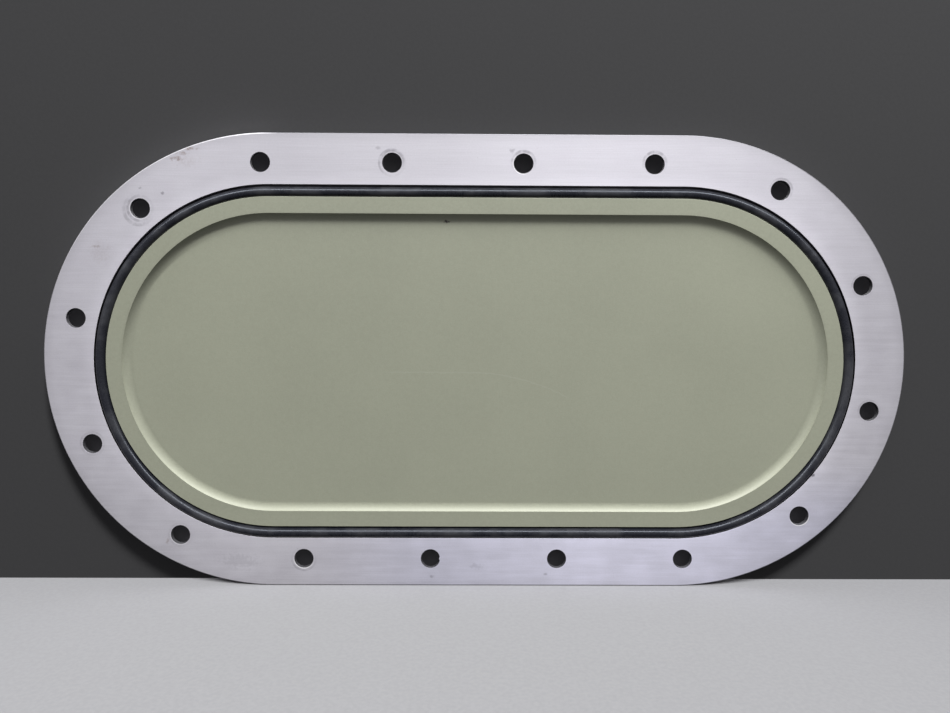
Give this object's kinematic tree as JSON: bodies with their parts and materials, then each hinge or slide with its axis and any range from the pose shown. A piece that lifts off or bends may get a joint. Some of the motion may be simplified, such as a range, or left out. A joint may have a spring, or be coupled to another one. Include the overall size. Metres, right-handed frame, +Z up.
{
  "type": "aircraft access panel",
  "caption": "Flat round-ended cover plate with a shallow pocket, a rubber seal ring in a groove and countersunk screw holes round its edge.",
  "frame": {"origin": "centre of the flat face that meets the structure, which is the centre of the screw pattern", "axes": "+X along the panel, +Z up along its height as it stands on its lower edge, -Y out of the sealed side, so +Y points out of the outer side"},
  "size_m": [0.3048, 0.005, 0.1606],
  "materials": {
    "plate": "bare brushed flange, matt grey-green primer inside the seal",
    "seal": "satin black"
  },
  "bodies": {
    "root": {"cover_plate": "plate", "seal_ring": "seal"}
  },
  "joints": []
}
